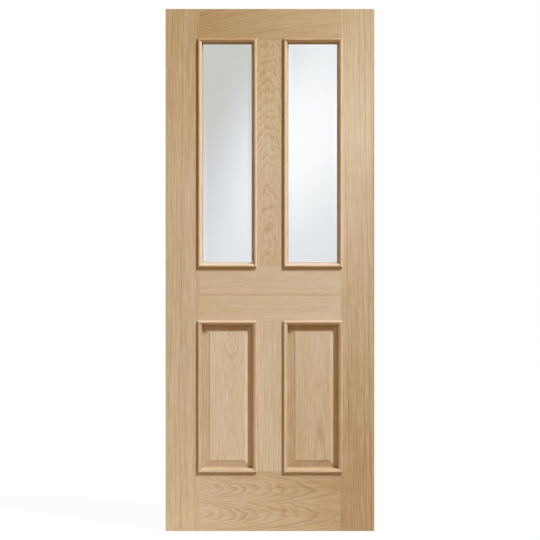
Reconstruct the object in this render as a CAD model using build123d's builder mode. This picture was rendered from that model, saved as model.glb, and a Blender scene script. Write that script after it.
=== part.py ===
from build123d import *
from math import cos, radians, sin, tan
import os

# Four-panel oak door leaf with raised bolection mouldings on both faces.
# Two bevelled glass panes stand over two raised-and-fielded panels.
# The hinge edge is the plane x = 0, the leaf stands on z = 0 and the front faces -Y.
# y = 0 is the middle of the leaf's thickness. All lengths are millimetres and all angles degrees.

# Leaf
leaf_width = 813
leaf_height = 2032
leaf_thickness = 35
arris = 1

# Frame members, each width measured to the edge of the opening beside it
stile_width = 131
lipping_width = 8
top_rail_height = 121
middle_rail_height = 218
bottom_rail_height = 233.5
muntin_width = 115
lower_opening_height = 579.5

# Bolection moulding: it laps over the frame's face, rises to a crest, slopes gently into the opening, then
# turns down over a nose and ends in a small cove beside the glass or the panel
moulding_lap = 6
moulding_rise = 8.5
moulding_edge = 2.5
crest_flat = 1
brow_radius = 4
slope_turn = 24
slope_width = 6.3
nose_radius = 2
nose_turn = 82
cove_radius = 2
cove_slope = 10
cove_drop = 9
bead_width = 0.8

# Glass pane, flat on the back and bevelled on the front
glass_thickness = 6
glass_gap = 2
glass_bevel_width = 28
glass_bevel_depth = 2.8

# Raised-and-fielded panel, the same on both faces
panel_gap = 1.5
tongue_thickness = 9
tongue_reveal = 2
panel_bevel_width = 24
field_shoulder = 1
field_thickness = 21

# Openings in the frame
opening_width = (leaf_width - 2 * stile_width - muntin_width) / 2
lower_opening_top = bottom_rail_height + lower_opening_height
upper_opening_bottom = lower_opening_top + middle_rail_height
upper_opening_top = leaf_height - top_rail_height
upper_opening_height = upper_opening_top - upper_opening_bottom
lower_opening_middle = bottom_rail_height + lower_opening_height / 2
upper_opening_middle = upper_opening_bottom + upper_opening_height / 2
left_opening_middle = stile_width + opening_width / 2
right_opening_middle = leaf_width - left_opening_middle

# Moulding section: the steep drop under the nose takes up what the other stretches leave of the fall
brow_fall = brow_radius * (1 - cos(radians(slope_turn)))
slope_fall = slope_width * tan(radians(slope_turn))
nose_fall = nose_radius * (cos(radians(slope_turn)) - cos(radians(nose_turn)))
cove_fall = cove_radius * (cos(radians(cove_slope)) - cos(radians(nose_turn)))
drop_fall = moulding_rise + cove_drop - brow_fall - slope_fall - nose_fall - cove_fall
slope_length = slope_width / cos(radians(slope_turn))
drop_length = drop_fall / sin(radians(nose_turn))
crest_start = moulding_rise - moulding_edge - moulding_lap
brow_run = brow_radius * sin(radians(slope_turn))
nose_run = nose_radius * (sin(radians(nose_turn)) - sin(radians(slope_turn)))
drop_run = drop_length * cos(radians(nose_turn))
cove_run = cove_radius * (sin(radians(nose_turn)) - sin(radians(cove_slope)))
slope_end = crest_start + crest_flat + brow_run + slope_width
moulding_reach = slope_end + nose_run + drop_run + cove_run + bead_width

# Seats for the moulding's foot, as depths below the frame's face at the opening's edge and at the foot's toe
glass_bevel_grade = glass_bevel_depth / glass_bevel_width
glass_edge_seat = (leaf_thickness - glass_thickness) / 2 + glass_bevel_depth
glass_front_seat = (
    glass_edge_seat + glass_gap * glass_bevel_grade,
    glass_edge_seat - (moulding_reach - glass_gap) * glass_bevel_grade,
)
glass_back_seat = ((leaf_thickness - glass_thickness) / 2,) * 2
panel_seat = ((leaf_thickness - tongue_thickness) / 2,) * 2

# Insets of the panel's bevel and field from the opening's edge
bevel_inset = moulding_reach + tongue_reveal
field_inset = bevel_inset + panel_bevel_width

front = Vector(0, -1, 0)
back = Vector(0, 1, 0)
inward_from = {
    "top": Vector(0, 0, -1),
    "bottom": Vector(0, 0, 1),
    "left": Vector(1, 0, 0),
    "right": Vector(-1, 0, 0),
}


def frame_board(x_low, x_high, z_low, z_high):
    """A square-edged board as thick as the leaf, seen from the front as this rectangle."""
    with BuildPart() as board:
        with BuildSketch(Plane.XZ):
            with Locations(((x_low + x_high) / 2, (z_low + z_high) / 2)):
                Rectangle(x_high - x_low, z_high - z_low)
        extrude(amount=leaf_thickness / 2, both=True)
    return board


def edge_lipping(x_low, outer_edge):
    """A strip of solid oak on one long edge; outer_edge picks which of its edges get the arris."""
    with BuildPart() as lipping:
        with BuildSketch(Plane.XZ):
            with Locations((x_low + lipping_width / 2, leaf_height / 2)):
                Rectangle(lipping_width, leaf_height)
        extrude(amount=leaf_thickness / 2, both=True)
        chamfer(lipping.edges().filter_by(Axis.Z).group_by(Axis.X)[outer_edge], arris)
    return lipping


def bevelled_pane(x_middle):
    """A pane with a flat back and a front face that slopes off to a thin edge all round."""
    pane_width = opening_width - 2 * glass_gap
    pane_height = upper_opening_height - 2 * glass_gap
    middle = (x_middle, upper_opening_middle)
    bevel_start = Plane.XZ.offset(glass_thickness / 2 - glass_bevel_depth)
    with BuildPart() as pane:
        with BuildSketch(Plane.XZ.offset(-glass_thickness / 2)):
            with Locations(middle):
                Rectangle(pane_width, pane_height)
        extrude(amount=glass_thickness - glass_bevel_depth)
        with BuildSketch(bevel_start):
            with Locations(middle):
                Rectangle(pane_width, pane_height)
        with BuildSketch(bevel_start.offset(glass_bevel_depth)):
            with Locations(middle):
                Rectangle(pane_width - 2 * glass_bevel_width, pane_height - 2 * glass_bevel_width)
        loft(ruled=True)
    return pane


def fielded_panel(x_middle):
    """A panel with a thin tongue, a bevel and a field that steps up by a small shoulder, on both faces."""
    middle = (x_middle, lower_opening_middle)
    shoulder_foot = Plane.XZ.offset(field_thickness / 2 - field_shoulder)
    with BuildPart() as panel:
        with BuildSketch(Plane.XZ):
            with Locations(middle):
                Rectangle(opening_width - 2 * panel_gap, lower_opening_height - 2 * panel_gap)
        extrude(amount=tongue_thickness / 2)
        with BuildSketch(Plane.XZ.offset(tongue_thickness / 2)):
            with Locations(middle):
                Rectangle(opening_width - 2 * bevel_inset, lower_opening_height - 2 * bevel_inset)
        with BuildSketch(shoulder_foot):
            with Locations(middle):
                Rectangle(opening_width - 2 * field_inset, lower_opening_height - 2 * field_inset)
        loft(ruled=True)
        with BuildSketch(shoulder_foot):
            with Locations(middle):
                Rectangle(opening_width - 2 * field_inset, lower_opening_height - 2 * field_inset)
        extrude(amount=field_shoulder)
        mirror(about=Plane.XZ)
    return panel


def moulding_length(opening_middle, opening_height, outward, inward, seat):
    """One length of moulding along the side of an opening, mitred at both ends.

    The section is drawn with x running into the opening from its edge and y standing out of the frame's face.
    """
    edge_depth, toe_depth = seat
    along = inward.cross(outward)
    half_across = abs(inward.X) * opening_width / 2 + abs(inward.Z) * opening_height / 2
    half_along = abs(along.X) * opening_width / 2 + abs(along.Z) * opening_height / 2
    side_middle = opening_middle + outward * (leaf_thickness / 2) - inward * half_across
    with BuildPart() as moulding:
        with BuildSketch(Plane(side_middle, x_dir=inward, z_dir=along)):
            with BuildLine():
                rim = Line((-moulding_lap, 0), (-moulding_lap, moulding_edge))
                ovolo = JernArc(rim @ 1, rim % 1, moulding_rise - moulding_edge, -90)
                crest = Line(ovolo @ 1, (ovolo @ 1) + (crest_flat, 0))
                brow = JernArc(crest @ 1, crest % 1, brow_radius, -slope_turn)
                slope = Line(brow @ 1, (brow @ 1) + (brow % 1) * slope_length)
                nose = JernArc(slope @ 1, slope % 1, nose_radius, slope_turn - nose_turn)
                drop = Line(nose @ 1, (nose @ 1) + (nose % 1) * drop_length)
                cove = JernArc(drop @ 1, drop % 1, cove_radius, nose_turn - cove_slope)
                bead = Line(cove @ 1, (cove @ 1) + (bead_width, 0))
                Polyline(bead @ 1, (moulding_reach, -toe_depth), (0, -edge_depth), (0, 0), rim @ 0)
            make_face()
        extrude(amount=half_along + 2 * moulding_lap, both=True)
        for end in (along, -along):
            corner = side_middle + end * half_along
            split(bisect_by=Plane(corner, z_dir=inward + end), keep=Keep.BOTTOM)
    return moulding


def save(piece, name):
    """Label a finished piece and write it to its own file."""
    piece.part.label = name
    export_step(piece.part, f"parts/{name}.step")


os.makedirs("parts", exist_ok=True)

# Stiles and their lippings
save(frame_board(lipping_width, stile_width, 0, leaf_height), "left_stile")
save(frame_board(leaf_width - stile_width, leaf_width - lipping_width, 0, leaf_height), "right_stile")
save(edge_lipping(0, outer_edge=0), "left_lipping")
save(edge_lipping(leaf_width - lipping_width, outer_edge=-1), "right_lipping")

# Rails between the stiles
rail_ends = (stile_width, leaf_width - stile_width)
save(frame_board(*rail_ends, upper_opening_top, leaf_height), "top_rail")
save(frame_board(*rail_ends, lower_opening_top, upper_opening_bottom), "middle_rail")
save(frame_board(*rail_ends, 0, bottom_rail_height), "bottom_rail")

# Muntins between the rails
muntin_edges = ((leaf_width - muntin_width) / 2, (leaf_width + muntin_width) / 2)
save(frame_board(*muntin_edges, upper_opening_bottom, upper_opening_top), "upper_muntin")
save(frame_board(*muntin_edges, bottom_rail_height, lower_opening_top), "lower_muntin")

# Panes, panels and the mouldings that hold them
for hand, x_middle in (("left", left_opening_middle), ("right", right_opening_middle)):
    save(bevelled_pane(x_middle), f"{hand}_glass")
    save(fielded_panel(x_middle), f"{hand}_panel")
    for side, inward in inward_from.items():
        upper_middle = Vector(x_middle, 0, upper_opening_middle)
        lower_middle = Vector(x_middle, 0, lower_opening_middle)
        save(
            moulding_length(upper_middle, upper_opening_height, front, inward, glass_front_seat),
            f"{hand}_glass_front_{side}_moulding",
        )
        save(
            moulding_length(upper_middle, upper_opening_height, back, inward, glass_back_seat),
            f"{hand}_glass_back_{side}_moulding",
        )
        save(
            moulding_length(lower_middle, lower_opening_height, front, inward, panel_seat),
            f"{hand}_panel_front_{side}_moulding",
        )
        save(
            moulding_length(lower_middle, lower_opening_height, back, inward, panel_seat),
            f"{hand}_panel_back_{side}_moulding",
        )
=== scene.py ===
"""Looks of a glazed four-panel oak door leaf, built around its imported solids.

Boards, raised panels and mitred mouldings are remade with eased edges. Every piece has an oak or glass finish
that reads Object coordinates, so the figure of the wood runs through each board and shows on every side.
Lengths are in metres. x runs across the leaf, y from its front to its back, and z up.
"""

from dataclasses import dataclass, replace
from math import cos, pi, radians, sin, tan

import bmesh
import bpy
from bpy.props import FloatProperty, FloatVectorProperty, IntProperty, PointerProperty
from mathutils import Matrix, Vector


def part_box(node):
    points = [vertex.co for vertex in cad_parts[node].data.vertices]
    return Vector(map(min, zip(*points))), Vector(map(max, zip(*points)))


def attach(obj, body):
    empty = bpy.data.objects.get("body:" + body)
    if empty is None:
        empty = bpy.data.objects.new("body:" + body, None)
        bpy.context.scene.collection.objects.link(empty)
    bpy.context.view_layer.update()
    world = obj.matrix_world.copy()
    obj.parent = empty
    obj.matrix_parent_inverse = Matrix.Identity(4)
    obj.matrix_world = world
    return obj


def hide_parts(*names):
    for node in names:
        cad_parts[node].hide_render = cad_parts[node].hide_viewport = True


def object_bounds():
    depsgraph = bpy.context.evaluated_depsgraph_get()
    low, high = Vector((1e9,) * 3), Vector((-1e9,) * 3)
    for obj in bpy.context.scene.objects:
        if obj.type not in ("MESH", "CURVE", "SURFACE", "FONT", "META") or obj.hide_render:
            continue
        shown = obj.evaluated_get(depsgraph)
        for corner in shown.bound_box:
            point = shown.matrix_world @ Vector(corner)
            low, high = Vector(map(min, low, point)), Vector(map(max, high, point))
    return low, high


bl_info = {
    "name": "Glazed four-panel oak door leaf",
    "version": (1, 0, 0),
    "blender": (4, 5, 0),
    "location": "3D View > Sidebar > Door",
    "description": "Dresses the solids of a glazed four-panel oak door leaf in wood and glass",
    "category": "Object",
}

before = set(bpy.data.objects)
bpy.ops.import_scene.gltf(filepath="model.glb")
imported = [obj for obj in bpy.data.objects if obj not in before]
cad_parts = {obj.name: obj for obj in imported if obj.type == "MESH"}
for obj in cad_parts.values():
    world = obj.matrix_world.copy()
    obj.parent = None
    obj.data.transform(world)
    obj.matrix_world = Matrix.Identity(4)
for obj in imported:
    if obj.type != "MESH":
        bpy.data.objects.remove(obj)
cad_low, cad_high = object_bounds()

BODY = "root"
HANDS = ("left", "right")
FACES = {"front": -1, "back": 1}
INWARD = {
    "top": Vector((0, 0, -1)),
    "bottom": Vector((0, 0, 1)),
    "left": Vector((1, 0, 0)),
    "right": Vector((-1, 0, 0)),
}
FRONT_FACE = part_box("left_stile")[0].y
BACK_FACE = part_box("left_stile")[1].y
MERGE_DISTANCE = 1e-7
ROUND_PROFILE = 0.5
SMOOTH_LIMIT = radians(25)
RADIUS_NAME = "corner_radius"


def display(red, green, blue):
    """A colour given by its display values, from 0 to 255, in linear light."""
    return tuple(
        (value / 255 / 12.92) if value <= 10 else ((value / 255 + 0.055) / 1.055) ** 2.4
        for value in (red, green, blue)
    )


# Boards and how each was cut from the log


@dataclass
class Cut:
    """Where a board lay in its log, which sets the figure on its faces, and how its tone varies, with the
    painted shade and painted light laid on it.

    grain: upright or level, the way that the fibres run
    along, across: the log's heart, by its place along and across the grain
    depth: how far the heart lies in front of the front face there
    tone_and_shade: tone at even steps from the low to the high end of the board, from 0, pale, to 1, tawny;
    along the boards it is partly painted shade for how the light falls, and on the mouldings it is set side
    by side as painted shade and painted light
    taper: how much depth grows for each metre along the grain, which draws arches
    bend: how fast the taper grows
    lean: how far the grain drifts across the board for each metre along it
    sweep: how fast the lean grows
    seam: place across the board where two staves meet, if it has two
    beyond: the heart's place across the second stave
    joint: how much darker the wood is beside the seam
    ring: width of a year's growth, below 0 where each year is darkest at its outer side
    wobble: how far the line of a year strays
    even: least weight of a year's line, from 0 to 1
    figure: strength of the years' lines at even steps from the low to the high end of the board
    streaks: strength of bands and streaks
    inner: painted shade beyond brink, darker, where it stands in for the shade on one side of a moulding;
    below 0 it is painted light, paler, that lifts a shadow there or on a panel's right bevel
    brink: place across the grain where the side of a moulding that faces into the opening starts, or the
    outer half of a right bevel
    inside: 1 or -1, the way across the grain from brink to that side or half
    flank_shade: painted shade, how much darker the wood is low on a moulding's flanks, where its drop and
    outer edge lie in shade
    sawn_and_shaded: 1 on a board whose edges are left from the saw, rougher and darker, the darkness partly
    painted shade that tames the key's light on them, else 0
    seed: sets the noise of this board apart from that of the others
    """

    grain: str
    along: float
    across: float
    depth: float
    tone_and_shade: tuple = (0.5, 0.5)
    taper: float = 0.0
    bend: float = 0.0
    lean: float = 0.0
    sweep: float = 0.0
    seam: float | None = None
    beyond: float = 0.0
    joint: float = 0.0
    ring: float = 0.005
    wobble: float = 0.003
    even: float = 0.2
    figure: tuple = (0.5, 0.5)
    streaks: float = 1.0
    inner: float = 0.0
    brink: float = 0.0
    inside: float = 0.0
    flank_shade: float = 0.0
    sawn_and_shaded: float = 0.0
    seed: float = 0.0


LEVEL_LENGTH = Cut("level", along=0.4, across=-0.4, depth=0.25, streaks=1.5)
UPRIGHT_LENGTH = Cut("upright", along=1.0, across=-0.3, depth=0.25, streaks=1.5)
CUTS = {
    # Boards: each tone runs end to end as the wood's own tone and, in part, as painted shade for how the
    # light falls along the leaf
    "left_stile": Cut(
        "upright", along=0.9, across=-0.1, depth=0.06, tone_and_shade=(0.54, 0.54, 0.58, 0.88),
        taper=0.01, lean=0.012, ring=0.009, streaks=1.2, seed=1.0,
    ),
    "right_stile": Cut(
        "upright", along=1.0, across=0.92, depth=0.08, tone_and_shade=(1.12, 0.88, 0.59, 0.07, 0.48),
        taper=0.01, lean=-0.02, ring=0.009, streaks=1.3, seed=2.0,
    ),
    "left_lipping": Cut(
        "upright", along=1.0, across=-0.2, depth=0.2, tone_and_shade=(0.5, 0.7), figure=(0.3, 0.3), seed=3.0,
    ),
    "right_lipping": Cut(
        "upright", along=1.0, across=1.1, depth=0.2, tone_and_shade=(0.9, 0.3), figure=(0.3, 0.3), seed=4.0,
    ),
    "top_rail": Cut(
        "level", along=0.41, across=1.7, depth=0.06, tone_and_shade=(1.06, 0.62),
        lean=0.165, sweep=-0.35, ring=0.01, figure=(0.55, 0.5), streaks=0.8, seed=5.0,
    ),
    "middle_rail": Cut(
        "level", along=0.4, across=0.72, depth=0.08, tone_and_shade=(0.45, 0.31),
        taper=0.004, seam=0.92, beyond=0.78, joint=0.25, figure=(0.3, 0.3), streaks=0.8, seed=6.0,
    ),
    "bottom_rail": Cut(
        "level", along=0.4, across=0.0646, depth=0.062, tone_and_shade=(0.5, 0.92),
        taper=0.125, bend=-0.15, seam=0.113, beyond=0.163,
        ring=-0.0065, wobble=0.008, even=0.4, figure=(0.65, 0.6, 0.3), seed=7.0,
    ),
    "upper_muntin": Cut(
        "upright", along=1.677, across=0.398, depth=0.14, tone_and_shade=(0.5, 0.38, 0.66),
        taper=0.14, bend=0.05, wobble=0.01, even=0.5, figure=(0.35, 0.6, 0.55), seed=8.0,
    ),
    "lower_muntin": Cut(
        "upright", along=0.5, across=0.33, depth=0.06, tone_and_shade=(0.42, 0.36),
        taper=0.01, ring=0.008, figure=(0.4, 0.4), seed=9.0,
    ),
    # Each panel is paler on the outer half of its right bevel. This is painted light that lifts the
    # moulding's shadow there.
    "left_panel": Cut(
        "upright", along=0.47, across=0.256, depth=0.08, tone_and_shade=(0.34, 0.25),
        bend=-0.5, figure=(0.35, 0.35), inner=-0.9, seed=10.0,
    ),
    "right_panel": Cut(
        "upright", along=0.4, across=0.6, depth=0.09, tone_and_shade=(0.67, 0.41),
        taper=0.02, figure=(0.4, 0.4), inner=-0.75, seed=11.0,
    ),
    # Mouldings: a tone for each side of an opening, which is painted shade and painted light for how the key
    # falls on that side. The slopes also carry painted shade and painted light, and the flanks painted shade
    # low down.
    "glass_top_moulding": replace(LEVEL_LENGTH, tone_and_shade=(1.25, 1.15), inner=-0.45, flank_shade=0.2, seed=12.0),
    "glass_bottom_moulding": replace(LEVEL_LENGTH, tone_and_shade=(0.8, 0.75), inner=-0.5, flank_shade=0.6, seed=13.0),
    "glass_left_moulding": replace(UPRIGHT_LENGTH, tone_and_shade=(0.65, 0.7), inner=-0.35, flank_shade=0.6, seed=14.0),
    "glass_right_moulding": replace(UPRIGHT_LENGTH, tone_and_shade=(0.45, 0.45), inner=0.7, seed=15.0),
    "panel_top_moulding": replace(LEVEL_LENGTH, across=-0.45, tone_and_shade=(0.55, 0.55), flank_shade=0.4, seed=16.0),
    "panel_bottom_moulding": replace(
        LEVEL_LENGTH, across=-0.45, tone_and_shade=(0.0, 0.0), inner=0.75, flank_shade=0.3, seed=17.0,
    ),
    "panel_left_moulding": replace(
        UPRIGHT_LENGTH, across=-0.35, tone_and_shade=(0.15, 0.15), inner=0.65, flank_shade=0.5, seed=18.0,
    ),
    "panel_right_moulding": replace(
        UPRIGHT_LENGTH, across=-0.35, tone_and_shade=(0.9, 0.9), inner=-0.3, seed=19.0,
    ),
}
RIGHT_HAND_SEED = 10


# Grain and finish of the oak


@dataclass(frozen=True)
class Feature:
    """Noise drawn out along the grain.

    length, width: size of its features
    detail: detail of the noise
    shown: range of the noise over which the feature comes in
    tone, roughness, height: its weights in the wood's tone, roughness and relief
    """

    length: float
    width: float
    detail: float = 2.0
    shown: tuple = (-0.5, 0.5)
    tone: float = 0.0
    roughness: float = 0.0
    height: float = 0.0


WANDER = Feature(length=0.5, width=0.16)
RIPPLE = Feature(length=0.06, width=0.018)
STRAY = Feature(length=0.15, width=0.06)
BAND = Feature(length=0.45, width=0.03, detail=3.0, tone=0.35)
STREAK = Feature(length=0.08, width=0.005, detail=3.0, tone=0.7)
FIBRE = Feature(length=0.05, width=0.0025, detail=3.0, tone=0.5, roughness=0.12, height=0.4)
PORE = Feature(length=0.014, width=0.0006, shown=(0.08, 0.2), tone=0.8, roughness=0.15, height=-0.6)
FLECK = Feature(length=0.012, width=0.004, shown=(0.14, 0.24), tone=-0.06)
BLUSH = Feature(length=0.2, width=0.02, detail=3.0, shown=(-0.15, 0.15))

# How far the noise bends the grain, and how far apart the noise of two seeds or staves lies
WANDER_REACH = 0.02
SWAY_REACH = 0.002
STRAY_ACROSS = 2.0
SHIFT_ALONG = 7.3
SHIFT_ACROSS = 3.1
STAVE_SHIFT = 3.7

# A year's line: the shares of the year at which it is darkest and ends, its weights, and how years differ
SHARP_LINE = (0.08, 0.25)
SOFT_LINE = (0.1, 0.8)
SHARP_WEIGHT = 0.35
SOFT_WEIGHT = 0.65
LINE_MEAN = 0.2
LINE_HEIGHT = -0.25
YEAR_PACE = 0.35
YEAR_SPREAD = 1.6
PORES_BETWEEN_LINES = 0.3

# Tone by place: a darker joint at the seam, painted shade and painted light on the mouldings and on the
# panels' right bevels, darker end grain, edges left from the saw darker partly as painted shade, and more
# golden higher on the leaf
SEAM_WIDTH = 0.0004
JOINT_WIDTH = 0.009
PAINTED_SHADE_WIDTH = 0.003
FLANK_SHADE_FOOT = 0.0145
FLANK_SHADE_TOP = 0.0215
END_TURN = (0.7, 1.0)
END_TONE = 0.4
EDGE_TURN = (0.2, 0.5)
SAWN_SHADE_TONE = 0.45
SAWN_ROUGHNESS = 0.3
GOLDEN_HEIGHTS = (1.3, 1.9)
GOLDEN_SHIFT = (-0.06, 0.1)

# Places of the pale and tawny tones on the ramp of the wood's colours
PALE_STOP = 0.2
TAWNY_STOP = 0.6

# Relief of the grain and shine of the lacquer
OAK_RELIEF = 0.35
OAK_RELIEF_DEPTH = 0.0003
LACQUER_SPECULAR = 0.14


# Glass: the wave in its surface and the film that wiping leaves

WAVE_WIDTH = 0.12
WAVE_HEIGHT = 0.3
WAVE_RELIEF = 0.08
WAVE_RELIEF_DEPTH = 0.0005
WIPE_LEAN = 0.4
WIPE_WIDTH = 0.02
WIPE_DEPTH = 0.1
WIPE_LENGTH = 0.11
WIPE_DETAIL = 3.0
FILM_SHOWN = (-0.2, 0.2)
HAZE_SHOWN = (0.0, 0.3)


# Stage

WHITE = (1, 1, 1, 1)
FLOOR_MATT = (0.8, 0.8, 0.8, 1)
FLOOR_GLOW = 0.92
FLOOR_REACH = 7.0
FLOOR_LEVEL = -0.001
BOUNCE_NEAR = (0.45, 0.37, 0.28, 1)
BOUNCE_FAR = (0.25, 0.17, 0.1, 1)
BOUNCE_FADE = (0.2, 0.5)

# Backdrop: a leaning oval pool of painted light, painted shade to its upper left, and a fade to white farther
# out; the backdrop glows
BACKDROP_SETBACK = 1.3
BACKDROP_HALF_WIDTH = 1.6
BACKDROP_TOP = 3.2
POOL_MIDDLE = (0.549, 1.632)
POOL_AXIS = (0.447, 0.894)
POOL_HALF_LENGTH = 0.474
POOL_HALF_WIDTH = 0.284
POOL_PACE = 0.3
POOL_LIGHT = (
    (0.0, (1.0, 1.0, 1.0)),
    (0.12, display(251, 252, 253)),
    (0.24, display(240, 242, 244)),
    (0.36, display(229, 231, 234)),
    (0.49, display(224, 226, 230)),
    (1.0, display(236, 238, 240)),
)
SHADE_UPWARD = 1.25
SHADE_LEFTWARD = 3.0
SHADE_START = 0.2
SHADE_REACH = 1.3
SHADE_LIGHT = (
    (0.0, (1.0, 1.0, 1.0)),
    (0.6, (0.845, 0.845, 0.855)),
    (1.0, (0.74, 0.74, 0.67)),
)
PAPER_MIDDLE = 1.565
PAPER_SIDE_FADE = (0.4, 0.75)
PAPER_HEIGHT_FADE = (0.6, 0.9)

# Lamps, by their direction from the leaf and their share of the key's strength
LAMPS = {
    "key": (Vector((1.3, -1.0, 1.95)), 1.0),
    "back_key": (Vector((-1.2, 1.0, 0.7)), 0.7),
}

# Framing: the height of the photo and of the leaf in it, in pixels
PHOTO_PIXELS = 540
LEAF_PIXELS = 522.2


# Settings that a user would change


class BoardSettings(bpy.types.PropertyGroup):
    """Edges of the frame's boards."""

    ease: FloatProperty(
        name="Ease", description="Rounding of a board's sharp edges", default=0.0004, unit="LENGTH"
    )
    arris: FloatProperty(
        name="Arris", description="Rounding of the leaf's long outer edges", default=0.001, unit="LENGTH"
    )
    rounding_steps: IntProperty(name="Rounding steps", description="Facets on a rounded edge", default=3)


class MouldingSettings(bpy.types.PropertyGroup):
    """Section of the bolection moulding; its lap, rise and reach come from the solids."""

    edge: FloatProperty(
        name="Edge", description="Height of the upright outer edge", default=0.0025, unit="LENGTH"
    )
    crest: FloatProperty(
        name="Crest", description="Flat along the top of the section", default=0.001, unit="LENGTH"
    )
    brow_radius: FloatProperty(
        name="Brow radius", description="Rounding where the crest turns down", default=0.004, unit="LENGTH"
    )
    slope: FloatProperty(
        name="Slope", description="Fall of the gently sloping face", default=radians(24), subtype="ANGLE"
    )
    nose_radius: FloatProperty(
        name="Nose radius", description="Rounding where the slope drops off", default=0.002, unit="LENGTH"
    )
    drop: FloatProperty(
        name="Drop", description="Fall of the steep side under the nose", default=radians(82), subtype="ANGLE"
    )
    cove_radius: FloatProperty(
        name="Cove radius", description="Hollow at the foot of the drop", default=0.002, unit="LENGTH"
    )
    cove_slope: FloatProperty(
        name="Cove slope", description="Fall where the cove ends", default=radians(10), subtype="ANGLE"
    )
    cove_drop: FloatProperty(
        name="Cove drop", description="Depth of the cove's end below the frame", default=0.009, unit="LENGTH"
    )
    bead: FloatProperty(
        name="Bead", description="Flat between the cove and the toe", default=0.0008, unit="LENGTH"
    )
    glass_slope: FloatProperty(
        name="Glass slope", description="Rise of the foot that lies on the glass bevel", default=0.1
    )
    ease: FloatProperty(
        name="Ease", description="Rounding of the section's corners", default=0.0003, unit="LENGTH"
    )
    arc_steps: IntProperty(name="Arc steps", description="Facets on each rounded corner", default=8)


class PanelSettings(bpy.types.PropertyGroup):
    """Raised-and-fielded panels; outline and full thickness come from the solids."""

    tongue: FloatProperty(
        name="Tongue", description="Thickness at the panel's edge", default=0.009, unit="LENGTH"
    )
    reveal: FloatProperty(
        name="Reveal", description="Flat that shows beside the moulding", default=0.002, unit="LENGTH"
    )
    bevel_width: FloatProperty(
        name="Bevel width", description="Width of the sloping border", default=0.024, unit="LENGTH"
    )
    shoulder: FloatProperty(
        name="Shoulder", description="Step up to the field", default=0.001, unit="LENGTH"
    )
    ease: FloatProperty(
        name="Ease", description="Rounding of the field's edge", default=0.0005, unit="LENGTH"
    )
    rounding_steps: IntProperty(name="Rounding steps", description="Facets on the field's edge", default=3)


class OakSettings(bpy.types.PropertyGroup):
    """Tones of the oak, from the lightest wood to the darkest pores."""

    bright: FloatVectorProperty(
        name="Bright", description="Lightest wood", default=display(230, 211, 182), subtype="COLOR"
    )
    pale: FloatVectorProperty(
        name="Pale", description="Light boards", default=display(217, 194, 162), subtype="COLOR"
    )
    tawny: FloatVectorProperty(
        name="Tawny", description="Dark boards", default=display(178, 142, 101), subtype="COLOR"
    )
    pore: FloatVectorProperty(
        name="Pore", description="Pores and deep grain lines", default=display(116, 80, 44), subtype="COLOR"
    )
    rosy: FloatVectorProperty(
        name="Rosy", description="Tint of the pinker streaks", default=(1.01, 0.985, 1.03), subtype="COLOR"
    )
    golden: FloatVectorProperty(
        name="Golden", description="Tint of the yellower streaks", default=(1.0, 0.995, 0.92), subtype="COLOR"
    )
    roughness: FloatProperty(
        name="Roughness", description="Satin of the lacquer", default=0.46, subtype="FACTOR"
    )


class GlassSettings(bpy.types.PropertyGroup):
    """Tint and haze of the glass."""

    clean: FloatVectorProperty(
        name="Clean", description="Tint of clean glass", default=(0.984, 0.988, 0.987), subtype="COLOR"
    )
    filmed: FloatVectorProperty(
        name="Filmed", description="Tint under a film", default=(0.974, 0.981, 0.979), subtype="COLOR"
    )
    haze: FloatProperty(
        name="Haze", description="Roughness where the film is thickest", default=0.03, subtype="FACTOR"
    )
    refraction: FloatProperty(name="Refraction", description="Index of refraction", default=1.5)


class StageSettings(bpy.types.PropertyGroup):
    """Camera and light."""

    camera_distance: FloatProperty(
        name="Camera distance", description="From the camera to the leaf's middle", default=6.0, unit="LENGTH"
    )
    key_strength: FloatProperty(
        name="Key strength", description="Light that reaches the leaf, in watts a square metre", default=5.3
    )
    key_distance: FloatProperty(
        name="Key distance", description="From the strip light to the leaf", default=40.0, unit="LENGTH"
    )
    key_width: FloatProperty(
        name="Key width", description="Width that the leaf sees", default=radians(5), subtype="ANGLE"
    )
    key_height: FloatProperty(
        name="Key height", description="Height that the leaf sees", default=radians(16), subtype="ANGLE"
    )
    key_tint: FloatVectorProperty(
        name="Key tint", description="Colour of the key", default=(0.89, 1.088, 1.285), subtype="COLOR"
    )
    ambient: FloatProperty(name="Ambient", description="Strength of the even light", default=0.265)
    ambient_tint: FloatVectorProperty(
        name="Ambient tint", description="Colour of even light", default=(1.25, 0.83, 0.425), subtype="COLOR"
    )


# Node expressions


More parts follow.
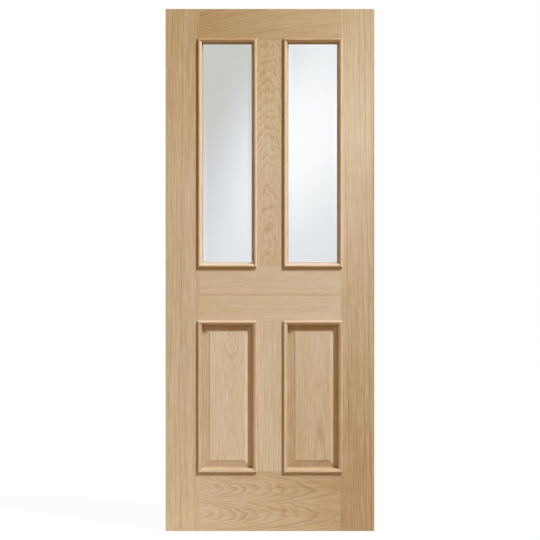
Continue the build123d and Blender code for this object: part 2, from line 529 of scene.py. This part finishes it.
class Wire:
    """A node socket in a Python expression; arithmetic on it adds Math nodes to its tree."""

    def __init__(self, tree, socket=None):
        self.tree = tree
        self.socket = socket

    def node(self, kind, settings=None, output=0, **links):
        """Add a node, set it up, then fill its sockets, named with _ for each space, and return an output."""
        made = self.tree.nodes.new(kind)
        for name, value in (settings or {}).items():
            if name == "stops":
                self.set_stops(made.color_ramp, value)
            else:
                setattr(made, name, value)
        for name, value in links.items():
            names = (name, name.replace("_", " "))
            socket = next(s for s in made.inputs if s.identifier in names)
            if isinstance(value, Wire):
                self.tree.links.new(value.socket, socket)
            else:
                socket.default_value = value
        return Wire(self.tree, made.outputs[output])

    @staticmethod
    def set_stops(ramp, stops):
        """Give a colour ramp exactly these stops, each a place and a colour."""
        while len(ramp.elements) < len(stops):
            ramp.elements.new(1.0)
        for element, (place, colour) in zip(ramp.elements, stops):
            element.position = place
            element.color = (*colour, 1)

    def surface(self, kind, shader):
        """Add an output node and give it this shader."""
        made = self.tree.nodes.new(kind)
        self.tree.links.new(shader.socket, made.inputs["Surface"])

    def math(self, operation, *values):
        """A Math node on plain values and wires."""
        inputs = dict(zip(("Value", "Value_001", "Value_002"), values))
        return self.node("ShaderNodeMath", {"operation": operation}, **inputs)

    def __add__(self, other):
        return self.math("ADD", self, other)

    def __radd__(self, other):
        return self.math("ADD", other, self)

    def __sub__(self, other):
        return self.math("SUBTRACT", self, other)

    def __rsub__(self, other):
        return self.math("SUBTRACT", other, self)

    def __mul__(self, other):
        return self.math("MULTIPLY", self, other)

    def __rmul__(self, other):
        return self.math("MULTIPLY", other, self)

    def __truediv__(self, other):
        return self.math("DIVIDE", self, other)

    def __abs__(self):
        return self.math("ABSOLUTE", self)

    def between(self, low, high, start=0.0, end=1.0):
        """Smoothly from start to end as the value goes from low to high."""
        return self.node(
            "ShaderNodeMapRange",
            {"interpolation_type": "SMOOTHSTEP"},
            Value=self,
            From_Min=low,
            From_Max=high,
            To_Min=start,
            To_Max=end,
        )

    def vector(self, x, y, z):
        """A vector from three values."""
        return self.node("ShaderNodeCombineXYZ", X=x, Y=y, Z=z)

    def axes(self, names="XYZ"):
        """The named axes of this vector."""
        return [self.node("ShaderNodeSeparateXYZ", output=name, Vector=self) for name in names]

    def place(self, names="XYZ", kind="Object"):
        """The named axes of a texture coordinate."""
        return self.node("ShaderNodeTexCoord", output=kind).axes(names)

    def noise(self, place, detail=2.0):
        """Noise about 0, from -0.5 to 0.5, at a place already scaled to the noise's grain."""
        made = self.node(
            "ShaderNodeTexNoise", {"noise_dimensions": "3D"}, Vector=place, Scale=1.0, Detail=detail
        )
        return made - 0.5

    def ramp(self, factor, stops):
        """A colour ramp through these stops, each a place and a colour."""
        return self.node("ShaderNodeValToRGB", {"stops": stops}, Fac=factor)

    def blend(self, factor, first, second, kind="MIX"):
        """Two colours blended by a factor; the node's third output is its colour."""
        settings = {"data_type": "RGBA", "blend_type": kind}
        return self.node(
            "ShaderNodeMix", settings, output=2, Factor_Float=factor, A_Color=first, B_Color=second
        )

    def shared(self, share, first, second):
        """Two shaders mixed, with this share of the second."""
        return self.node("ShaderNodeMixShader", Fac=share, Shader=first, Shader_001=second)


def new_material(name):
    """An empty node material and a loose wire to start from."""
    material = bpy.data.materials.new(name)
    material.use_nodes = True
    material.node_tree.nodes.clear()
    return material, Wire(material.node_tree)


def growth_line(wire, cut, side, sunk, shift):
    """How dark a year's line is, given how far the log's heart lies across the board and in front of it."""
    reach = wire.math("SQRT", side * side + sunk * sunk) / cut.ring
    rings = reach + wire.noise(wire.vector(reach * YEAR_PACE, shift, 0.0), 1.0) * YEAR_SPREAD
    share = wire.math("FRACT", rings)
    year = wire.node("ShaderNodeTexWhiteNoise", {"noise_dimensions": "1D"}, W=wire.math("FLOOR", rings))
    sharp, soft = (
        share.between(0.0, darkest) * share.between(darkest, end, 1.0, 0.0)
        for darkest, end in (SHARP_LINE, SOFT_LINE)
    )
    return (sharp * SHARP_WEIGHT + soft * SOFT_WEIGHT) * (year * year * (1 - cut.even) + cut.even)


def oak(name, cut, low, high):
    """Solid oak, cut from its log as cut says; low and high are the ends of the board along the grain."""
    tones = bpy.context.scene.door_oak
    material, wire = new_material(name)
    x, y, z = wire.place()
    upright = cut.grain == "upright"
    along, across = (z, x) if upright else (x, z)
    stave = 0.0
    if cut.seam is not None:
        stave = across.between(cut.seam - SEAM_WIDTH / 2, cut.seam + SEAM_WIDTH / 2)
    heart = stave * (cut.beyond - cut.across) + cut.across
    shift = stave * STAVE_SHIFT + cut.seed

    def stretched(sideways, feature):
        """The noise of a feature, where sideways is the place across the grain."""
        lot = wire.vector(
            along / feature.length + shift * SHIFT_ALONG,
            sideways / feature.width + shift * SHIFT_ACROSS,
            y / feature.width,
        )
        return wire.noise(lot, feature.detail)

    def graded(values):
        """A value that goes through these at even steps from the low to the high end of the board."""
        stops = [(i / (len(values) - 1), (value, value, value)) for i, value in enumerate(values)]
        return wire.ramp((along - low) / (high - low), stops)

    # Growth lines round a tilted heart, no two years alike
    wander, ripple, stray = (stretched(across, feature) for feature in (WANDER, RIPPLE, STRAY))
    run = along - cut.along
    leaned = across - run * cut.lean - run * run * (cut.sweep / 2) + wander * WANDER_REACH
    side = leaned - heart + (ripple + stray * STRAY_ACROSS) * cut.wobble
    tilted = y - FRONT_FACE + cut.depth + run * cut.taper + run * run * (cut.bend / 2)
    sunk = tilted + (ripple + stray) * cut.wobble
    line = growth_line(wire, cut, side, sunk, shift)

    # Streaks, fibres, pores and ray flecks
    swayed = leaned + ripple * SWAY_REACH
    band, streak, fibre = (stretched(swayed, feature) for feature in (BAND, STREAK, FIBRE))
    pored = line * (1 - PORES_BETWEEN_LINES) + PORES_BETWEEN_LINES
    pore = stretched(swayed, PORE).between(*PORE.shown) * pored
    fleck = stretched(swayed, FLECK).between(*FLECK.shown)

    # Tone of the board, with the darker joint, painted shade and painted light, end grain and edges added by
    # place, and what the grain adds
    tone = graded(cut.tone_and_shade)
    if cut.joint:
        tone = tone + abs(across - cut.seam).between(0.0, JOINT_WIDTH, cut.joint, 0.0)
    # Painted shade beyond brink on the side of a moulding that faces away from the key, and painted light,
    # paler, where it lifts the shadow on other sides and on a panel's right bevel
    if cut.inner:
        inward = (across - cut.brink) * cut.inside
        tone = tone + inward.between(0.0, PAINTED_SHADE_WIDTH, 0.0, cut.inner)
    # Painted shade low on a moulding's flanks, below these depths, where the drop and the outer edge lie in
    # shade
    if cut.flank_shade:
        tone = tone + abs(y).between(FLANK_SHADE_FOOT, FLANK_SHADE_TOP, cut.flank_shade, 0.0)
    # Darker end grain; edges rougher and darker, the darkness partly painted shade that tames the key's light
    # on them
    endwise, outward = (abs(facing) for facing in wire.place("ZY" if upright else "XY", "Normal"))
    edgewise = outward.between(*EDGE_TURN, cut.sawn_and_shaded, 0.0)
    tone = tone + endwise.between(*END_TURN, 0.0, END_TONE) + edgewise * SAWN_SHADE_TONE
    grain = (band * BAND.tone + streak * STREAK.tone) * cut.streaks + fibre * FIBRE.tone
    growth = (line - LINE_MEAN) * graded(cut.figure)
    tone = tone + grain + growth + pore * PORE.tone + fleck * FLECK.tone

    # Colour, roughness and relief
    wood = wire.ramp(
        tone * (TAWNY_STOP - PALE_STOP) + PALE_STOP,
        ((0.0, tones.bright), (PALE_STOP, tones.pale), (TAWNY_STOP, tones.tawny), (1.0, tones.pore)),
    )
    # More golden higher up the leaf
    heightwise_gold = z.between(*GOLDEN_HEIGHTS, *GOLDEN_SHIFT)
    blush = (stretched(swayed, BLUSH) + heightwise_gold).between(*BLUSH.shown)
    tint = wire.blend(blush, (*tones.rosy, 1), (*tones.golden, 1))
    rough = fibre * FIBRE.roughness + pore * PORE.roughness + edgewise * SAWN_ROUGHNESS + tones.roughness
    relief = fibre * FIBRE.height + pore * PORE.height + line * LINE_HEIGHT
    shader = wire.node(
        "ShaderNodeBsdfPrincipled",
        Base_Color=wire.blend(1.0, wood, tint, "MULTIPLY"),
        Roughness=rough,
        Normal=wire.node("ShaderNodeBump", Strength=OAK_RELIEF, Distance=OAK_RELIEF_DEPTH, Height=relief),
        Specular_IOR_Level=LACQUER_SPECULAR,
    )
    wire.surface("ShaderNodeOutputMaterial", shader)
    return material


def clear_glass():
    """Clear glass with a slight wave in its surface and the film that wiping leaves on it."""
    looks = bpy.context.scene.door_glass
    material, wire = new_material("clear_glass")
    x, y, z = wire.place()
    wave = wire.noise(wire.vector(x / WAVE_WIDTH, y / WAVE_WIDTH, z / WAVE_HEIGHT), 1.0)
    wiped = wire.vector(
        (x + z * WIPE_LEAN) / WIPE_WIDTH, y / WIPE_DEPTH, (z - x * WIPE_LEAN) / WIPE_LENGTH
    )
    film = wire.noise(wiped, WIPE_DETAIL)
    shader = wire.node(
        "ShaderNodeBsdfPrincipled",
        Base_Color=wire.blend(film.between(*FILM_SHOWN), (*looks.clean, 1), (*looks.filmed, 1)),
        Roughness=film.between(*HAZE_SHOWN, 0.0, looks.haze),
        IOR=looks.refraction,
        Transmission_Weight=1.0,
        Normal=wire.node("ShaderNodeBump", Strength=WAVE_RELIEF, Distance=WAVE_RELIEF_DEPTH, Height=wave),
    )
    wire.surface("ShaderNodeOutputMaterial", shader)
    return material


# Meshes


def stand_in(name, mesh, material=None):
    """Make a finished mesh the piece that stands for the solid of the same name."""
    if material:
        mesh.materials.append(material)
    piece = bpy.data.objects.new(f"{name}_piece", mesh)
    bpy.context.scene.collection.objects.link(piece)
    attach(piece, BODY)
    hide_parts(name)
    return piece


def check_size(piece, node, allowance=0.0002):
    """Stop if a piece doesn't fill the box of the solid that it stands for."""
    corners = [Vector(corner) for corner in piece.bound_box]
    for corner, pick in zip(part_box(node), (min, max)):
        found = Vector(pick(c[i] for c in corners) for i in range(3))
        if (found - corner).length > allowance:
            raise RuntimeError(f"{piece.name} ends at {found[:]} and the solid at {corner[:]}")


def round_edges(form, edges, radius, steps):
    """Round some edges of a bmesh."""
    bmesh.ops.bevel(form, geom=edges, offset=radius, segments=steps, affect="EDGES", profile=ROUND_PROFILE)


def finished(form, mesh):
    """Fill a mesh from a bmesh, with doubled corners merged and faces turned outwards."""
    bmesh.ops.remove_doubles(form, verts=form.verts, dist=MERGE_DISTANCE)
    bmesh.ops.recalc_face_normals(form, faces=form.faces)
    form.to_mesh(mesh)
    form.free()
    return mesh


def board_mesh(node, outer=None):
    """A board with eased edges; outer is -1 or 1 where its long edges on that side of x get the arris."""
    sizes = bpy.context.scene.door_boards
    low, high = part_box(node)
    middle = (low + high) / 2
    form = bmesh.new()
    bmesh.ops.create_cube(form, size=1.0)
    for vert in form.verts:
        vert.co = Vector(c * s for c, s in zip(vert.co, high - low)) + middle
    arrises = []
    if outer:
        arrises = [
            edge
            for edge in form.edges
            if all((vert.co.x - middle.x) * outer > 0 for vert in edge.verts)
            and abs(edge.verts[0].co.z - edge.verts[1].co.z) > sizes.arris
        ]
    eased = [edge for edge in form.edges if edge not in arrises]
    if arrises:
        round_edges(form, arrises, sizes.arris, sizes.rounding_steps)
        eased = [edge for edge in eased if edge.is_valid]
    round_edges(form, eased, sizes.ease, sizes.rounding_steps)
    return finished(form, bpy.data.meshes.new(node))


def bevel_insets(node):
    """How far inside a panel's edges its bevel starts and its field begins."""
    sizes = bpy.context.scene.door_panels
    hand = node.split("_")[0]
    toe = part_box(f"{hand}_panel_front_left_moulding")[1].x
    bevel_foot = toe + sizes.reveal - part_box(node)[0].x
    return bevel_foot, bevel_foot + sizes.bevel_width


def panel_mesh(node):
    """A raised-and-fielded panel: a stack of rectangles from one field to the other, joined up."""
    sizes = bpy.context.scene.door_panels
    low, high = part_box(node)
    bevel_foot, field_edge = bevel_insets(node)
    field = (high.y - low.y) / 2
    tongue = sizes.tongue / 2
    half = [(field_edge, field), (field_edge, field - sizes.shoulder), (bevel_foot, tongue), (0, tongue)]
    stack = [(inset, -level) for inset, level in half]
    stack += reversed(half)
    form = bmesh.new()
    rings = []
    for inset, level in stack:
        left, right = low.x + inset, high.x - inset
        foot, head = low.z + inset, high.z - inset
        corners = ((left, foot), (right, foot), (right, head), (left, head))
        rings.append([form.verts.new((corner_x, level, corner_z)) for corner_x, corner_z in corners])
    for near, far in zip(rings, rings[1:]):
        for i in range(len(near)):
            form.faces.new((near[i], near[i - 1], far[i - 1], far[i]))
    form.faces.new(rings[0])
    form.faces.new(reversed(rings[-1]))
    field_edges = [
        edge
        for ring in (rings[0], rings[-1])
        for edge in form.edges
        if all(vert in ring for vert in edge.verts)
    ]
    round_edges(form, field_edges, sizes.ease, sizes.rounding_steps)
    return finished(form, bpy.data.meshes.new(node))


def opening(hand, kind):
    """Low and high corners of an opening in the frame, taken from the boards round it."""
    muntin = "upper_muntin" if kind == "glass" else "lower_muntin"
    beside = (f"{hand}_stile", muntin) if hand == "left" else (muntin, f"{hand}_stile")
    above = "top_rail" if kind == "glass" else "middle_rail"
    below = "middle_rail" if kind == "glass" else "bottom_rail"
    low = Vector((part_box(beside[0])[1].x, FRONT_FACE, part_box(below)[1].z))
    high = Vector((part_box(beside[1])[0].x, BACK_FACE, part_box(above)[0].z))
    return low, high


def moulding_section(hand, kind, face):
    """The moulding's section as a loop of corners with a radius each.

    x runs into the opening from the frame's edge, and y stands proud of the frame's face.
    """
    sizes = bpy.context.scene.door_mouldings
    box_low, box_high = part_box(f"{hand}_{kind}_{face}_left_moulding")
    edge_x = opening(hand, kind)[0].x
    lap = edge_x - box_low.x
    reach = box_high.x - edge_x
    proud, foot = (FRONT_FACE - box_low.y, box_high.y - FRONT_FACE)
    if face == "back":
        proud, foot = (box_high.y - BACK_FACE, BACK_FACE - box_low.y)
    toe = foot - reach * sizes.glass_slope if (kind, face) == ("glass", "front") else foot
    ovolo_radius = proud - sizes.edge
    brow_tangent = sizes.brow_radius * tan(sizes.slope / 2)
    brow = (ovolo_radius - lap + sizes.crest + brow_tangent, proud)
    cove_tangent = sizes.cove_radius * tan((sizes.drop - sizes.cove_slope) / 2)
    cove_end = (reach - sizes.bead, -sizes.cove_drop)
    cove = (
        cove_end[0] - cove_tangent * cos(sizes.cove_slope),
        cove_end[1] + cove_tangent * sin(sizes.cove_slope),
    )
    run, fall = (cove[0] - brow[0], brow[1] - cove[1])
    slope_length = (run * sin(sizes.drop) - fall * cos(sizes.drop)) / sin(sizes.drop - sizes.slope)
    nose = (brow[0] + slope_length * cos(sizes.slope), brow[1] - slope_length * sin(sizes.slope))
    corners = (
        ((-lap, 0), sizes.ease),
        ((-lap, proud), ovolo_radius),
        (brow, sizes.brow_radius),
        (nose, sizes.nose_radius),
        (cove, sizes.cove_radius),
        (cove_end, sizes.ease),
        ((reach, -sizes.cove_drop), sizes.ease),
        ((reach, -toe), sizes.ease),
        ((0, -foot), sizes.ease),
        ((0, 0), sizes.ease),
    )
    mesh = bpy.data.meshes.new(f"{hand}_{kind}_{face}_section")
    count = len(corners)
    mesh.from_pydata([(*place, 0) for place, _ in corners], [(i, (i + 1) % count) for i in range(count)], [])
    radius = mesh.attributes.new(RADIUS_NAME, "FLOAT", "POINT")
    radius.data.foreach_set("value", [value for _, value in corners])
    return mesh


def moulding_tree():
    """Geometry Nodes that make a length of moulding.

    They round a section's corners, draw it out to a length, mitre both ends and set it in place.
    """
    tree = bpy.data.node_groups.new("mitred_moulding", "GeometryNodeTree")
    for name, kind in (
        ("Section", "Geometry"),
        ("Half length", "Float"),
        ("Place", "Vector"),
        ("Inward", "Vector"),
        ("Along", "Vector"),
        ("Arc steps", "Int"),
        ("Finish", "Material"),
    ):
        tree.interface.new_socket(name, in_out="INPUT", socket_type=f"NodeSocket{kind}")
    tree.interface.new_socket("Moulding", in_out="OUTPUT", socket_type="NodeSocketGeometry")
    wire = Wire(tree)
    given = {socket.name: Wire(tree, socket) for socket in tree.nodes.new("NodeGroupInput").outputs}
    loop = wire.node("GeometryNodeMeshToCurve", Mesh=given["Section"])
    radius = wire.node("GeometryNodeInputNamedAttribute", {"data_type": "FLOAT"}, Name=RADIUS_NAME)
    rounded = wire.node(
        "GeometryNodeFilletCurve", {"mode": "POLY"}, Curve=loop, Count=given["Arc steps"], Radius=radius
    )
    half_length = given["Half length"]
    path = wire.node(
        "GeometryNodeCurvePrimitiveLine",
        Start=wire.vector(0.0, 0.0, half_length * -1.0),
        End=wire.vector(0.0, 0.0, half_length),
    )
    length = wire.node("GeometryNodeCurveToMesh", Curve=path, Profile_Curve=rounded, Fill_Caps=True)
    inset, height = wire.node("GeometryNodeInputPosition").axes("XZ")
    pull = inset * wire.math("SIGN", height) * -1.0
    mitred = wire.node("GeometryNodeSetPosition", Geometry=length, Offset=wire.vector(0.0, 0.0, pull))
    turn = wire.node(
        "FunctionNodeAxesToRotation",
        {"primary_axis": "Z", "secondary_axis": "X"},
        Primary_Axis=given["Along"],
        Secondary_Axis=given["Inward"],
    )
    placed = wire.node("GeometryNodeTransform", Geometry=mitred, Translation=given["Place"], Rotation=turn)
    real = wire.node("GeometryNodeRealizeInstances", Geometry=placed)
    dressed = wire.node("GeometryNodeSetMaterial", Geometry=real, Material=given["Finish"])
    tree.links.new(dressed.socket, tree.nodes.new("NodeGroupOutput").inputs["Moulding"])
    return tree


def grown(section, tree, inputs, name):
    """The plain mesh that a tree makes of a section with these inputs."""
    holder = bpy.data.objects.new(f"{name}_holder", section)
    bpy.context.scene.collection.objects.link(holder)
    modifier = holder.modifiers.new("grow", "NODES")
    modifier.node_group = tree
    for item in tree.interface.items_tree:
        if item.name in inputs:
            modifier[item.identifier] = inputs[item.name]
    evaluated = holder.evaluated_get(bpy.context.evaluated_depsgraph_get())
    mesh = bpy.data.meshes.new_from_object(evaluated)
    holder.modifiers.remove(modifier)
    bpy.data.objects.remove(holder)
    form = bmesh.new()
    form.from_mesh(mesh)
    finished(form, mesh)
    mesh.name = name
    mesh.shade_smooth()
    mesh.set_sharp_from_angle(angle=SMOOTH_LIMIT)
    return mesh


# Operators, one for each group of pieces


class DOOR_OT_boards(bpy.types.Operator):
    """Stiles, lippings, rails and muntins with eased edges"""

    bl_idname = "door.boards"
    bl_label = "Boards"

    def execute(self, context):
        outer_side = {"left_lipping": -1, "right_lipping": 1}
        boards = [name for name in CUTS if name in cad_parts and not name.endswith("panel")]
        for name in boards:
            # Every board's edges are darker, partly as painted shade
            cut = replace(CUTS[name], sawn_and_shaded=1.0)
            low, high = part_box(name)
            axis = 2 if cut.grain == "upright" else 0
            mesh = board_mesh(name, outer_side.get(name))
            piece = stand_in(name, mesh, oak(f"{name}_oak", cut, low[axis], high[axis]))
            check_size(piece, name)
        return {"FINISHED"}


class DOOR_OT_panels(bpy.types.Operator):
    """Raised-and-fielded panels in the two lower openings"""

    bl_idname = "door.panels"
    bl_label = "Panels"

    def execute(self, context):
        for hand in HANDS:
            name = f"{hand}_panel"
            low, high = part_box(name)
            # The outer half of the right bevel takes painted light that lifts the moulding's shadow there
            bevel_middle = high.x - sum(bevel_insets(name)) / 2
            cut = replace(CUTS[name], brink=bevel_middle, inside=1.0)
            piece = stand_in(name, panel_mesh(name), oak(f"{name}_oak", cut, low.z, high.z))
            check_size(piece, name)
        return {"FINISHED"}


class DOOR_OT_mouldings(bpy.types.Operator):
    """Mitred lengths of bolection moulding round all four openings, on both faces"""

    bl_idname = "door.mouldings"
    bl_label = "Mouldings"

    def execute(self, context):
        tree = moulding_tree()
        for kind in ("glass", "panel"):
            for hand in HANDS:
                finishes = {side: self.finish(hand, kind, side) for side in INWARD}
                for face in FACES:
                    self.frame_opening(hand, kind, face, tree, finishes)
        return {"FINISHED"}

    def finish(self, hand, kind, side):
        """The oak of one length of moulding, which its twin on the other face shares; its tone, painted shade
        and painted light are set for the side of the opening where it lies.
        """
        cut = CUTS[f"{kind}_{side}_moulding"]
        low, high = opening(hand, kind)
        axis, crossing = (2, 0) if cut.grain == "upright" else (0, 2)
        inside = INWARD[side][crossing]
        brink = low[crossing] if inside > 0 else high[crossing]
        seed = cut.seed + RIGHT_HAND_SEED * HANDS.index(hand)
        placed = replace(cut, seed=seed, brink=brink, inside=inside)
        return oak(f"{hand}_{kind}_{side}_oak", placed, low[axis], high[axis])

    def frame_opening(self, hand, kind, face, tree, finishes):
        """The four lengths on one face of one opening."""
        section = moulding_section(hand, kind, face)
        low, high = opening(hand, kind)
        middle = (low + high) / 2
        middle.y = FRONT_FACE if face == "front" else BACK_FACE
        half = (high - low) / 2
        outward = Vector((0, FACES[face], 0))
        for side, inward in INWARD.items():
            name = f"{hand}_{kind}_{face}_{side}_moulding"
            along = inward.cross(outward)
            inputs = {
                "Half length": abs(along.dot(half)),
                "Place": middle - inward * abs(inward.dot(half)),
                "Inward": inward,
                "Along": along,
                "Arc steps": bpy.context.scene.door_mouldings.arc_steps,
                "Finish": finishes[side],
            }
            piece = stand_in(name, grown(section, tree, inputs, name))
            check_size(piece, name)


class DOOR_OT_panes(bpy.types.Operator):
    """Clear glass on the two bevelled panes"""

    bl_idname = "door.panes"
    bl_label = "Panes"

    def execute(self, context):
        glass = clear_glass()
        for hand in HANDS:
            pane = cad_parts[f"{hand}_glass"]
            pane.data.materials.clear()
            pane.data.materials.append(glass)
        return {"FINISHED"}


class DOOR_OT_stage(bpy.types.Operator):
    """Floor, backdrop, light and camera"""

    bl_idname = "door.stage"
    bl_label = "Stage"

    def execute(self, context):
        settings = context.scene.door_stage
        middle = (cad_low + cad_high) / 2
        add_floor(middle)
        add_backdrop(middle)
        add_world(settings)
        add_lamps(middle, settings)
        add_camera(middle, settings)
        context.scene.view_settings.view_transform = "Standard"
        return {"FINISHED"}


# Pieces of the stage


def stage_plane(name, corners, material):
    """A flat four-cornered stage piece."""
    mesh = bpy.data.meshes.new(name)
    mesh.from_pydata(corners, [], [(0, 1, 2, 3)])
    mesh.materials.append(material)
    plane = bpy.data.objects.new(name, mesh)
    bpy.context.scene.collection.objects.link(plane)
    return plane


def unscattered(wire):
    """1 on a path that no matt surface has scattered yet, else 0."""
    return wire.math("LESS_THAN", wire.node("ShaderNodeLightPath", output="Diffuse Depth"), 0.5)


def seen_directly(wire):
    """1 where the camera, a reflection or a view through glass meets a surface, 0 for light on the wood."""
    camera, glossy, through = (
        wire.node("ShaderNodeLightPath", output=f"Is {kind} Ray")
        for kind in ("Camera", "Glossy", "Transmission")
    )
    seen = wire.math("MAXIMUM", wire.math("MAXIMUM", camera, glossy), through)
    return seen * unscattered(wire)


def add_floor(middle):
    """A pale floor that keeps a faint shadow; the light that it bounces on to the leaf is warm and dim."""
    material, wire = new_material("floor_white")
    matt = wire.node("ShaderNodeBsdfDiffuse", Color=FLOOR_MATT)
    bright = wire.node("ShaderNodeEmission", Color=WHITE, Strength=1.0)
    white = wire.shared(FLOOR_GLOW, matt, bright)
    (depth,) = wire.place("Y")
    bounce = wire.blend(abs(depth).between(*BOUNCE_FADE), BOUNCE_NEAR, BOUNCE_FAR)
    dim = wire.node("ShaderNodeBsdfDiffuse", Color=bounce)
    wire.surface("ShaderNodeOutputMaterial", wire.shared(seen_directly(wire), dim, white))
    corners = [
        (middle.x + dx * FLOOR_REACH, middle.y + dy * FLOOR_REACH, FLOOR_LEVEL)
        for dx, dy in ((-1, -1), (1, -1), (1, 1), (-1, 1))
    ]
    stage_plane("floor", corners, material)


def add_backdrop(middle):
    """A paper backdrop behind the leaf that glows with a painted soft pool of light and painted shade, which
    only the glass shows.
    """
    material, wire = new_material("backdrop_paper")
    x, z = wire.place("XZ")
    aside = x - POOL_MIDDLE[0]
    above = z - POOL_MIDDLE[1]
    lengthwise = (aside * POOL_AXIS[0] + above * POOL_AXIS[1]) / POOL_HALF_LENGTH
    crosswise = (aside * POOL_AXIS[1] - above * POOL_AXIS[0]) / POOL_HALF_WIDTH
    away = wire.math("SQRT", lengthwise * lengthwise + crosswise * crosswise)
    pool = wire.ramp(away * POOL_PACE, POOL_LIGHT)
    upper_left = (above * SHADE_UPWARD - aside * SHADE_LEFTWARD - SHADE_START).between(0.0, SHADE_REACH)
    shaded = wire.blend(1.0, pool, wire.ramp(upper_left, SHADE_LIGHT), "MULTIPLY")
    sideways = abs(x - middle.x).between(*PAPER_SIDE_FADE)
    upwards = abs(z - PAPER_MIDDLE).between(*PAPER_HEIGHT_FADE)
    paper = wire.blend(wire.math("MAXIMUM", sideways, upwards), shaded, WHITE)
    seen = wire.node("ShaderNodeLightPath", output="Is Transmission Ray") * unscattered(wire)
    glowing = wire.node("ShaderNodeEmission", Color=paper, Strength=1.0)
    clear = wire.node("ShaderNodeBsdfTransparent")
    behind = wire.node("ShaderNodeNewGeometry", output="Backfacing")
    wire.surface("ShaderNodeOutputMaterial", wire.shared(seen * (1 - behind), clear, glowing))
    corners = [
        (middle.x - BACKDROP_HALF_WIDTH, BACKDROP_SETBACK, 0.0),
        (middle.x + BACKDROP_HALF_WIDTH, BACKDROP_SETBACK, 0.0),
        (middle.x + BACKDROP_HALF_WIDTH, BACKDROP_SETBACK, BACKDROP_TOP),
        (middle.x - BACKDROP_HALF_WIDTH, BACKDROP_SETBACK, BACKDROP_TOP),
    ]
    stage_plane("backdrop", corners, material)


def add_world(settings):
    """Even light all round; white where the camera, a reflection or a view through glass sees it."""
    world = bpy.data.worlds.new("studio")
    world.use_nodes = True
    world.node_tree.nodes.clear()
    wire = Wire(world.node_tree)
    even = wire.node("ShaderNodeBackground", Color=(*settings.ambient_tint, 1), Strength=settings.ambient)
    white = wire.node("ShaderNodeBackground", Color=WHITE, Strength=1.0)
    wire.surface("ShaderNodeOutputWorld", wire.shared(seen_directly(wire), even, white))
    bpy.context.scene.world = world


def add_lamps(middle, settings):
    """A tall strip light far off at the upper right, and its twin behind the leaf for the back."""
    for name, (towards, share) in LAMPS.items():
        lamp = bpy.data.lights.new(name, "AREA")
        lamp.shape = "RECTANGLE"
        lamp.size = 2 * settings.key_distance * tan(settings.key_width / 2)
        lamp.size_y = 2 * settings.key_distance * tan(settings.key_height / 2)
        lamp.energy = settings.key_strength * share * pi * settings.key_distance**2
        lamp.color = settings.key_tint
        holder = bpy.data.objects.new(name, lamp)
        holder.location = middle + towards.normalized() * settings.key_distance
        holder.rotation_euler = (-towards).to_track_quat("-Z", "Y").to_euler()
        bpy.context.scene.collection.objects.link(holder)


def add_camera(middle, settings):
    """A long lens square on to the leaf, framed as in the photo."""
    camera = bpy.data.cameras.new("camera")
    seen_height = PHOTO_PIXELS / LEAF_PIXELS * (cad_high.z - cad_low.z)
    camera.lens = camera.sensor_width * (settings.camera_distance + FRONT_FACE) / seen_height
    holder = bpy.data.objects.new("camera", camera)
    holder.location = (middle.x, -settings.camera_distance, middle.z)
    holder.rotation_euler = (radians(90), 0, 0)
    bpy.context.scene.collection.objects.link(holder)
    bpy.context.scene.camera = holder


# Panel in the sidebar, and what Blender registers


class DOOR_PT_builder(bpy.types.Panel):
    """Buttons for each group of pieces"""

    bl_idname = "DOOR_PT_builder"
    bl_label = "Oak door leaf"
    bl_space_type = "VIEW_3D"
    bl_region_type = "UI"
    bl_category = "Door"

    def draw(self, context):
        for operator in OPERATORS:
            self.layout.operator(operator.bl_idname)


OPERATORS = (DOOR_OT_boards, DOOR_OT_panels, DOOR_OT_mouldings, DOOR_OT_panes, DOOR_OT_stage)
SETTINGS = {
    "door_boards": BoardSettings,
    "door_mouldings": MouldingSettings,
    "door_panels": PanelSettings,
    "door_oak": OakSettings,
    "door_glass": GlassSettings,
    "door_stage": StageSettings,
}


def register():
    for group in SETTINGS.values():
        bpy.utils.register_class(group)
    for name, group in SETTINGS.items():
        setattr(bpy.types.Scene, name, PointerProperty(type=group))
    for operator in OPERATORS:
        bpy.utils.register_class(operator)
    bpy.utils.register_class(DOOR_PT_builder)


def unregister():
    bpy.utils.unregister_class(DOOR_PT_builder)
    for operator in reversed(OPERATORS):
        bpy.utils.unregister_class(operator)
    for name in SETTINGS:
        delattr(bpy.types.Scene, name)
    for group in reversed(SETTINGS.values()):
        bpy.utils.unregister_class(group)


def main():
    register()
    bpy.ops.door.boards()
    bpy.ops.door.panels()
    bpy.ops.door.mouldings()
    bpy.ops.door.panes()
    bpy.ops.door.stage()


if __name__ == "__main__":
    main()
